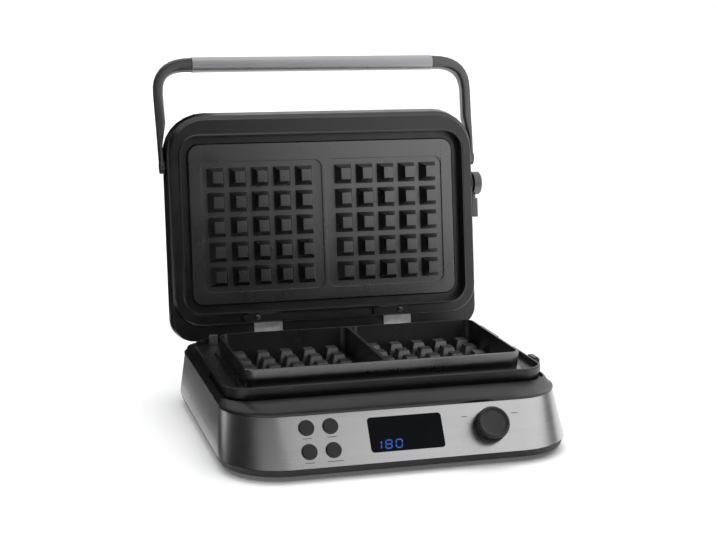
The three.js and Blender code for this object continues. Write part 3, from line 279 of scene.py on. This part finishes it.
lid_plastic = moulded("lid_plastic", (0.003, 0.0031, 0.0035), 0.32, specular=0.75, ior=1.58)
frame_plastic = moulded("frame_plastic", (0.0035, 0.0036, 0.004), 0.34, specular=0.75)
dark_plastic = moulded("dark_plastic", (0.006, 0.006, 0.0064), 0.5)
arm_plastic = moulded("arm_plastic", (0.003, 0.0031, 0.0034), 0.34, specular=0.85, ior=1.8)
knob_plastic = moulded("knob_plastic", (0.003, 0.003, 0.0033), 0.38, grain=1800, depth=0.008, specular=0.75)
skirt_plastic = moulded("skirt_plastic", (0.008, 0.008, 0.0085), 0.5)
front_steel = brushed("front_steel", (0.62, 0.615, 0.625), 0.3, (1, 1, 60), around="Z")
grip_metal = brushed("grip_metal", (0.5, 0.5, 0.515), 0.46, (1, 30, 30))
plate_coating = coated("plate_coating", (0.002, 0.002, 0.0022), 0.28)
hinge_metal = sheet_metal("hinge_metal", (0.78, 0.78, 0.79), 0.34)
screw_metal = sheet_metal("screw_metal", (0.3, 0.3, 0.31), 0.3)
rim_screw_metal = sheet_metal("rim_screw_metal", (0.12, 0.12, 0.125), 0.34)
# The pans are coloured near black, which is painted shade: it makes the gaps round the plates read dark
pan_metal_painted_shade = sheet_metal("pan_metal_painted_shade", (0.03, 0.03, 0.031), 0.5)
element_metal = sheet_metal("element_metal", (0.16, 0.15, 0.14), 0.5)
foot_rubber = rubber("foot_rubber", (0.014, 0.014, 0.015))
window_glass = glass("window_glass", (0.003, 0.0034, 0.0045))
board_green = board("board_green", (0.02, 0.11, 0.05))
blue_light = lit("blue_light", (0.02, 0.1, 0.5), 0.6)
print_grey = moulded("print_grey", (0.16, 0.16, 0.165), 0.6)

# A node takes the first material here that lists the start of its name. The last one takes the rest:
# screws, the bail's pins, the knob's shaft, the encoder and the sensors.
MATERIALS = (
    (lid_plastic, ("lid_frame", "lid_shell")),
    (arm_plastic, ("lock_boss", "lock_lever", "bail_arm")),
    (frame_plastic, ("top_frame", "lock_catch", "rear_panel")),
    (skirt_plastic, ("base_tray",)),
    (dark_plastic, ("rim_stop", "relay", "display_module", "board_carrier", "key_switch")),
    (knob_plastic, ("selector_knob", "button")),
    (front_steel, ("steel_band",)),
    (grip_metal, ("grip_tube",)),
    (plate_coating, ("lower_plate", "upper_plate")),
    (hinge_metal, ("hinge", "plate_tab")),
    (pan_metal_painted_shade, ("lower_pan", "upper_pan")),
    (element_metal, ("lower_element", "upper_element")),
    (foot_rubber, ("foot", "cord_gland")),
    (window_glass, ("display_window",)),
    (board_green, ("control_board", "power_board")),
    (screw_metal, ("",)),
)

# Edges: what is welded, rounded and shaded smooth
WELD_DISTANCE, DOUBLE_DISTANCE = 1e-6, 1e-7
SHARP_ANGLE = math.radians(32)
BEVEL_ANGLE = math.radians(35)
BEVEL_SEGMENTS = 2
USUAL_BEVEL_MM = 0.25
BEVEL_MM = {
    "upper_plate": 0.6, "lower_plate": 0.6, "lid_frame": 0.5, "lid_shell": 0.5, "top_frame": 0.5,
    "steel_band": 0, "base_tray": 0.4, "selector_knob": 0.5, "lock_lever": 0.6, "lock_boss": 0.4,
    "bail_arm_left": 0.3, "bail_arm_right": 0.3, "display_window": 0.3, "lock_catch": 0.9,
}
HIDDEN_INSIDE = ("key_switch", "control_board", "power_board", "relay", "display_module", "board_carrier",
                 "lower_element", "upper_element", "lower_pan", "upper_pan", "lower_sensor", "upper_sensor",
                 "encoder")


def smoothing_tree():
    """Drops the imported normals, shades faces smooth and keeps edges above SHARP_ANGLE sharp"""
    tree = bpy.data.node_groups.new("smooth_by_angle", "GeometryNodeTree")
    tree.interface.new_socket("Geometry", in_out="INPUT", socket_type="NodeSocketGeometry")
    tree.interface.new_socket("Geometry", in_out="OUTPUT", socket_type="NodeSocketGeometry")
    new, link = tree.nodes.new, tree.links.new
    start, end = new("NodeGroupInput"), new("NodeGroupOutput")
    bare = new("GeometryNodeSetMeshNormal")
    bare.inputs["Remove Custom"].default_value = True
    angle = new("GeometryNodeInputMeshEdgeAngle")
    sharp = new("FunctionNodeCompare")
    sharp.data_type, sharp.operation = "FLOAT", "GREATER_THAN"
    sharp.inputs[1].default_value = SHARP_ANGLE
    smooth, keep = new("GeometryNodeSetShadeSmooth"), new("GeometryNodeSetShadeSmooth")
    smooth.domain, keep.domain = "FACE", "EDGE"
    smooth.inputs["Shade Smooth"].default_value = True
    keep.inputs["Shade Smooth"].default_value = False
    link(start.outputs[0], bare.inputs["Mesh"])
    link(bare.outputs["Mesh"], smooth.inputs["Geometry"])
    link(smooth.outputs["Geometry"], keep.inputs["Geometry"])
    link(angle.outputs["Unsigned Angle"], sharp.inputs[0])
    link(sharp.outputs["Result"], keep.inputs["Selection"])
    link(keep.outputs["Geometry"], end.inputs[0])
    return tree


smooth_by_angle = smoothing_tree()


def finish_surface(obj, bevel_mm, weighted=True):
    """Rounds the edges by bevel_mm; weighted normals keep the flat faces between them flat"""
    weld = obj.modifiers.new("weld", "WELD")
    weld.merge_threshold = WELD_DISTANCE
    if bevel_mm:
        bevel = obj.modifiers.new("edges", "BEVEL")
        bevel.limit_method = "ANGLE"
        bevel.angle_limit = BEVEL_ANGLE
        bevel.width = bevel_mm * MM
        bevel.segments = BEVEL_SEGMENTS
    smooth = obj.modifiers.new("smooth", "NODES")
    smooth.node_group = smooth_by_angle
    if weighted:
        even = obj.modifiers.new("even", "WEIGHTED_NORMAL")
        even.mode = "FACE_AREA"
        even.weight = 100
        even.keep_sharp = True


for name, obj in nodes.items():
    obj.data.materials.clear()
    obj.data.materials.append(next(material for material, starts in MATERIALS if name.startswith(starts)))
    inside = name.startswith(HIDDEN_INSIDE)
    finish_surface(obj, 0 if inside else BEVEL_MM.get(name, USUAL_BEVEL_MM), weighted=not inside)


# What all new pieces share
def mesh_of(name, shape):
    """Turns a bmesh into a mesh and frees it"""
    mesh = bpy.data.meshes.new(name)
    shape.to_mesh(mesh)
    shape.free()
    return mesh


def new_piece(name, shape, material, body):
    """Makes an object of a bmesh, in one material, which rides on a body"""
    bmesh.ops.remove_doubles(shape, verts=shape.verts, dist=DOUBLE_DISTANCE)
    bmesh.ops.recalc_face_normals(shape, faces=shape.faces)
    mesh = mesh_of(name, shape)
    mesh.materials.append(material)
    obj = add_object(name, mesh)
    finish_surface(obj, 0)
    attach(obj, body)
    return obj


def spin(shape, profile, steps, corner_at):
    """Spins a profile whose rows start with a radius. corner_at(turn, *row) gives a row's corner at an
    angle, and a row with radius 0 has only one corner."""
    rings = [[shape.verts.new(corner_at(2 * math.pi * step / steps, *row))
              for step in range(steps if row[0] else 1)] for row in profile]
    for ring, following in zip(rings, rings[1:]):
        for step in range(steps):
            after = (step + 1) % steps
            if len(ring) == 1:
                shape.faces.new((ring[0], following[after], following[step]))
            elif len(following) == 1:
                shape.faces.new((ring[step], ring[after], following[0]))
            else:
                shape.faces.new((ring[step], ring[after], following[after], following[step]))
    return rings


# The sloping front as a frame of its own, in millimetres: x to the right, s up the slope and h out of
# it. The knob's centre is at KNOB_X and KNOB_S in it.
KNOB_X, KNOB_S = 72.8, 23.6


def on_front(x, s, h):
    return (knob_place + Vector(((x - KNOB_X) * MM, 0, 0)) + front_up * ((s - KNOB_S) * MM)
            + front_out * (h * MM))


def slab_on_front(shape, outline, low, high):
    """A flat prism over an outline of (x, s) points, from height low to high above the steel"""
    under = [shape.verts.new(on_front(x, s, low)) for x, s in outline]
    over = [shape.verts.new(on_front(x, s, high)) for x, s in outline]
    shape.faces.new(over)
    shape.faces.new(under[::-1])
    for i in range(len(outline)):
        j = (i + 1) % len(outline)
        shape.faces.new((under[i], under[j], over[j], over[i]))


# Display: a plain number in leaning digits of up to seven strokes, named a to g
SHOWN_NUMBER = "180"
STROKES = {"0": "abcdef", "1": "bc", "8": "abcdefg"}
DIGIT_WIDTH, DIGIT_HEIGHT, STROKE_WIDTH, STROKE_GAP, LEAN = 6.3, 8.0, 1.15, 0.18, 0.12
FIRST_DIGIT_X, DIGITS_S, DIGIT_STEP = -29.6, 12.0, 9.0
DIGIT_LOW, DIGIT_HIGH = 0.02, 0.08


def stroke_outline(x0, s0, x1, s1):
    """The six corners of a stroke with pointed ends, a gap short of its two end points"""
    half = STROKE_WIDTH / 2
    length = math.hypot(x1 - x0, s1 - s0)
    along_x, along_s = (x1 - x0) / length, (s1 - s0) / length
    point_x, point_s = along_x * half, along_s * half
    side_x, side_s = -along_s * half, along_x * half
    x0, s0 = x0 + along_x * STROKE_GAP, s0 + along_s * STROKE_GAP
    x1, s1 = x1 - along_x * STROKE_GAP, s1 - along_s * STROKE_GAP
    return [(x0, s0), (x0 + point_x + side_x, s0 + point_s + side_s),
            (x1 - point_x + side_x, s1 - point_s + side_s), (x1, s1),
            (x1 - point_x - side_x, s1 - point_s - side_s), (x0 + point_x - side_x, s0 + point_s - side_s)]


def make_display_digits():
    right, top = DIGIT_WIDTH - STROKE_WIDTH, DIGIT_HEIGHT - STROKE_WIDTH
    middle = top / 2
    ends = {"a": (0, top, right, top), "b": (right, middle, right, top), "c": (right, 0, right, middle),
            "d": (0, 0, right, 0), "e": (0, 0, 0, middle), "f": (0, middle, 0, top),
            "g": (0, middle, right, middle)}
    shape = bmesh.new()
    for place, digit in enumerate(SHOWN_NUMBER):
        left = FIRST_DIGIT_X + place * DIGIT_STEP
        for stroke in STROKES[digit]:
            outline = [(left + x + LEAN * s, DIGITS_S + s) for x, s in stroke_outline(*ends[stroke])]
            slab_on_front(shape, outline, DIGIT_LOW, DIGIT_HIGH)
    new_piece("display_digits", shape, blue_light, "base")


make_display_digits()

# Plain printed dashes on the steel: where their middles are and how long they are
PRINTED_DASHES = ((-85.9, 25.6, 8), (-64.9, 25.6, 8), (-85.9, 5.0, 8), (-64.6, 5.0, 13),
                  (51.5, 33.7, 5), (96.8, 33.7, 6))
DASH_HEIGHT = 0.7
DASH_LOW, DASH_HIGH = -0.02, 0.05


def make_printed_marks():
    shape = bmesh.new()
    for x, s, length in PRINTED_DASHES:
        half, tall = length / 2, DASH_HEIGHT / 2
        outline = [(x - half, s - tall), (x + half, s - tall), (x + half, s + tall), (x - half, s + tall)]
        slab_on_front(shape, outline, DASH_LOW, DASH_HIGH)
    new_piece("printed_marks", shape, print_grey, "base")


make_printed_marks()

# Screws with a domed head and a cross recess, in millimetres. The recess has a share of the head's
# radius as its length, and a smaller share at its bottom.
RIM_HEAD_RADIUS, TRAY_HEAD_RADIUS, SHANK_RADIUS = 2.7, 3.4, 1.75
HEAD_HEIGHT, DOME_HEIGHT, DOME_ANGLE, DOME_STEPS, SCREW_STEPS = 1.6, 1.2, 1.25, 6, 32
RECESS_LENGTH_SHARE, RECESS_BOTTOM_SHARE, RECESS_WIDTH, CUTTER_HEIGHT = 1.1, 0.62, 0.75, 2.4
RECESS_TURN = 0.5


def screw_profile(head_radius, length):
    """Rows of radius and height, from the middle of the head down to the end of the shank"""
    profile = [(0.0, 0.0)]
    for step in range(1, DOME_STEPS + 1):
        angle = DOME_ANGLE * step / DOME_STEPS
        profile.append((head_radius * math.sin(angle) / math.sin(DOME_ANGLE),
                        -DOME_HEIGHT * MM * (1 - math.cos(angle)) / (1 - math.cos(DOME_ANGLE))))
    return profile + [(head_radius, -HEAD_HEIGHT * MM), (SHANK_RADIUS * MM, -HEAD_HEIGHT * MM),
                      (SHANK_RADIUS * MM, -length), (0.0, -length)]


def recess_cutter(name, head_radius):
    """Two crossed wedges, with their upper half above the head"""
    shape = bmesh.new()
    for crossing in (False, True):
        for corner in bmesh.ops.create_cube(shape, size=1)["verts"]:
            share = RECESS_LENGTH_SHARE * (RECESS_BOTTOM_SHARE if corner.co.z < 0 else 1.0)
            along = corner.co.x * share * head_radius
            across = corner.co.y * RECESS_WIDTH * MM
            height = corner.co.z * CUTTER_HEIGHT * MM
            corner.co = (across, along, height) if crossing else (along, across, height)
    return add_object(name, mesh_of(name, shape))


def cross_screw(name, node, axis, body, head_radius, material):
    """A screw in the place of a CAD screw, with its head at the end that axis points to"""
    corners = [corner.co for corner in nodes[node].data.vertices]
    along = [corner.dot(axis) for corner in corners]
    middle = sum(corners, Vector()) / len(corners)
    top_centre = middle + axis * (max(along) - middle.dot(axis))
    shape = bmesh.new()
    spin(shape, screw_profile(head_radius, max(along) - min(along)), SCREW_STEPS,
         lambda turn, radius, height: (radius * math.cos(turn), radius * math.sin(turn), height))
    bmesh.ops.recalc_face_normals(shape, faces=shape.faces)
    obj = add_object(name, mesh_of(name, shape))
    cutter = recess_cutter(name + "_cutter", head_radius)
    recess = obj.modifiers.new("recess", "BOOLEAN")
    recess.operation, recess.object, recess.solver = "DIFFERENCE", cutter, "EXACT"
    recess.use_self = True
    mesh = bpy.data.meshes.new_from_object(obj.evaluated_get(bpy.context.evaluated_depsgraph_get()))
    obj.modifiers.clear()
    obj.data = mesh
    bpy.data.objects.remove(cutter)
    turn = UP.rotation_difference(axis).to_matrix().to_4x4()
    mesh.transform(Matrix.Translation(top_centre) @ turn @ Matrix.Rotation(RECESS_TURN, 4, "Z"))
    mesh.materials.clear()
    mesh.materials.append(material)
    finish_surface(obj, 0)
    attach(obj, body)
    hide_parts(node)


for side in ("left", "right"):
    cross_screw(f"rim_screw_{side}", f"frame_screw_{side}", lid_inner_side, "lid", RIM_HEAD_RADIUS * MM,
                rim_screw_metal)
for number in (1, 2, 3, 4):
    cross_screw(f"underside_screw_{number}", f"tray_screw_{number}", DOWN, "base", TRAY_HEAD_RADIUS * MM,
                screw_metal)

# Turn knob with a finely ribbed side, in millimetres
KNOB_RADIUS, GRIP_RADIUS, GROOVE_RADIUS, BORE_RADIUS, BORE_DEPTH = 14.75, 14.4, 13.75, 3.1, 8
RIBS, STEPS_PER_RIB, RIB_DEPTH = 60, 6, 0.8


def knob_section(low, high):
    """Rows of radius, height along the knob's axis, and share of the ribs' depth"""
    foot_ring = [(KNOB_RADIUS - 0.5, low, 0), (KNOB_RADIUS, low + 0.5, 0), (KNOB_RADIUS, low + 1.9, 0),
                 (GRIP_RADIUS, low + 2.2, 0)]
    groove = [(GROOVE_RADIUS, low + 2.3, 0), (GROOVE_RADIUS, low + 2.9, 0)]
    ribbed_side = [(GRIP_RADIUS, low + 3.2, 1), (GRIP_RADIUS, high - 1.5, 1),
                   (GROOVE_RADIUS, high - 0.6, 0.3)]
    rim = [(KNOB_RADIUS - 1.7, high - 0.12, 0), (KNOB_RADIUS - 2.4, high, 0),
           (KNOB_RADIUS - 3.2, high - 0.1, 0), (KNOB_RADIUS - 3.6, high - 0.3, 0)]
    dished_face = [(KNOB_RADIUS - 6.0, high - 0.36, 0), (0, high - 0.4, 0)]
    return [(BORE_RADIUS, low, 0)] + foot_ring + groove + ribbed_side + rim + dished_face


def make_knob():
    heights = [(corner.co - knob_place).dot(front_out) for corner in nodes["selector_knob"].data.vertices]
    side_way = Vector((1, 0, 0))

    def corner_at(turn, radius, height, wave):
        reach = radius - wave * RIB_DEPTH * (0.5 - 0.5 * math.cos(turn * RIBS))
        outwards = side_way * math.cos(turn) + front_up * math.sin(turn)
        return knob_place + outwards * (reach * MM) + front_out * (height * MM)

    shape = bmesh.new()
    steps = RIBS * STEPS_PER_RIB
    mouth = spin(shape, knob_section(min(heights) / MM, max(heights) / MM), steps, corner_at)[0]
    bore_end = [shape.verts.new(corner.co + front_out * (BORE_DEPTH * MM)) for corner in mouth]
    for step in range(steps):
        after = (step + 1) % steps
        shape.faces.new((mouth[after], mouth[step], bore_end[step], bore_end[after]))
    shape.faces.new(bore_end)
    knob = new_piece("ribbed_knob", shape, knob_plastic, "knob")
    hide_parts("selector_knob")


make_knob()

# Rubber feet, as rows of radius and height in millimetres
FOOT_STEPS = 48
FOOT_HOLLOW = [(0, 1.6), (3.0, 1.6), (3.4, 0.4)]
FOOT_TREAD = [(4.2, 0.0), (6.2, 0.0), (6.5, 0.5), (7.0, 0.5), (7.3, 0.05), (8.4, 0.15)]
FOOT_SIDE = [(8.9, 0.7), (9.0, 1.4), (8.7, 4.3), (8.4, 4.7)]
FOOT_PEG = [(3.0, 4.7), (3.0, 7.8), (0, 7.8)]


def make_foot(number):
    low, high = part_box(f"foot_{number}")
    middle = (low + high) / 2

    def corner_at(turn, radius, height):
        return (middle.x + radius * MM * math.cos(turn), middle.y + radius * MM * math.sin(turn),
                height * MM)

    shape = bmesh.new()
    spin(shape, FOOT_HOLLOW + FOOT_TREAD + FOOT_SIDE + FOOT_PEG, FOOT_STEPS, corner_at)
    foot = new_piece(f"rubber_foot_{number}", shape, foot_rubber, "base")
    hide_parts(f"foot_{number}")


for number in (1, 2, 3, 4):
    make_foot(number)

# Stage: a white floor, and black cards that only the object's reflections show, in metres. Each is a
# rectangle, given by two opposite corners.
FLOOR = ((-8, -6, 0), (8, 10, 0))
CARDS = {
    "card_left": ((-1.0, -1.2, 0), (-1.0, 0.5, 1.35)),
    "card_front": ((-1.0, -1.9, 0), (0.3, -1.9, 1.4)),
    "card_middle": ((0.3, -1.9, 0), (0.5, -1.9, 0.75)),
    "card_near": ((-0.3, -0.45, 0.002), (0.35, -0.45, 0.2)),
    "card_right": ((1.2, -0.4, 0.1), (1.2, 0.15, 0.5)),
    "card_floor": ((-0.46, -0.25, 0.002), (-0.18, 0.45, 0.002)),
    "card_back": ((-0.65, 0.46, 0), (-0.05, 0.46, 0.62)),
    "card_above": ((-1.4, -1.7, 1.5), (0.3, -0.5, 1.5)),
}
WHITE = (1, 1, 1, 1)
FLOOR_GREY, FLOOR_GLOW = 0.9, 0.1
ROOM_COLOR, ROOM_LIGHT = (0.95, 0.97, 1.0, 1), 0.16


def shown_ray(tree):
    """1 for the rays that show the background: seen by the camera, mirrored, or through glass"""
    path = tree.nodes.new("ShaderNodeLightPath")
    first, second = tree.nodes.new("ShaderNodeMath"), tree.nodes.new("ShaderNodeMath")
    first.operation = second.operation = "MAXIMUM"
    tree.links.new(path.outputs["Is Camera Ray"], first.inputs[0])
    tree.links.new(path.outputs["Is Glossy Ray"], first.inputs[1])
    tree.links.new(first.outputs[0], second.inputs[0])
    tree.links.new(path.outputs["Is Transmission Ray"], second.inputs[1])
    return second.outputs[0]


def stage_plane(name, low, high, material):
    """A rectangle between two opposite corners, which share one coordinate"""
    first, second = [axis for axis in range(3) if low[axis] != high[axis]]
    corners = [list(low), list(low), list(high), list(low)]
    corners[1][first] = high[first]
    corners[3][second] = high[second]
    mesh = bpy.data.meshes.new(name)
    mesh.from_pydata(corners, [], [(0, 1, 2, 3)])
    mesh.materials.append(material)
    obj = add_object(name, mesh)
    return obj


def white_floor():
    """A pale floor, with a glow that only the rays that show the background see"""
    material = bpy.data.materials.new("floor_white")
    material.use_nodes = True
    tree = material.node_tree
    bsdf = tree.nodes["Principled BSDF"]
    bsdf.inputs["Base Color"].default_value = (FLOOR_GREY, FLOOR_GREY, FLOOR_GREY, 1)
    bsdf.inputs["Roughness"].default_value = 0.9
    bsdf.inputs["Specular IOR Level"].default_value = 0.0
    level = tree.nodes.new("ShaderNodeMath")
    level.operation = "MULTIPLY"
    level.inputs[1].default_value = FLOOR_GLOW
    glow = tree.nodes.new("ShaderNodeEmission")
    glow.inputs["Color"].default_value = WHITE
    total = tree.nodes.new("ShaderNodeAddShader")
    tree.links.new(shown_ray(tree), level.inputs[0])
    tree.links.new(level.outputs[0], glow.inputs["Strength"])
    tree.links.new(bsdf.outputs["BSDF"], total.inputs[0])
    tree.links.new(glow.outputs["Emission"], total.inputs[1])
    tree.links.new(total.outputs["Shader"], tree.nodes["Material Output"].inputs["Surface"])
    return material


def make_world():
    """A white background, with much less light on the object"""
    world = bpy.data.worlds.new("studio")
    scene.world = world
    world.use_nodes = True
    tree = world.node_tree
    room, white = tree.nodes["Background"], tree.nodes.new("ShaderNodeBackground")
    for background, color, strength in ((room, ROOM_COLOR, ROOM_LIGHT), (white, WHITE, 1.0)):
        background.inputs["Color"].default_value = color
        background.inputs["Strength"].default_value = strength
    mix = tree.nodes.new("ShaderNodeMixShader")
    tree.links.new(shown_ray(tree), mix.inputs["Fac"])
    tree.links.new(room.outputs["Background"], mix.inputs[1])
    tree.links.new(white.outputs["Background"], mix.inputs[2])
    tree.links.new(mix.outputs["Shader"], tree.nodes["World Output"].inputs["Surface"])


def make_lamp(name, came_from, strength, spread):
    """A distant lamp, spread over so many degrees that its light is soft, and not itself mirrored"""
    data = bpy.data.lights.new(name, "SUN")
    data.energy = strength
    data.angle = math.radians(spread)
    lamp = add_object(name, data)
    lamp.location = came_from
    lamp.rotation_mode = "QUATERNION"
    lamp.rotation_quaternion = (-Vector(came_from)).to_track_quat("-Z", "Y")
    lamp.visible_glossy = False


stage_plane("floor", *FLOOR, white_floor())
card_black = Shader("card_black", (0.006, 0.006, 0.006), 0.9, specular=0.0).material
for name, corners in CARDS.items():
    card = stage_plane(name, *corners, card_black)
    card.visible_camera = False
    card.visible_shadow = False
    card.visible_diffuse = False
make_world()
make_lamp("key_lamp", (0.25, 0.1, 2.0), 2.4, 100)
make_lamp("back_lamp", (0.5, 0.9, 1.6), 1.3, 60)

scene.view_settings.view_transform = "Standard"
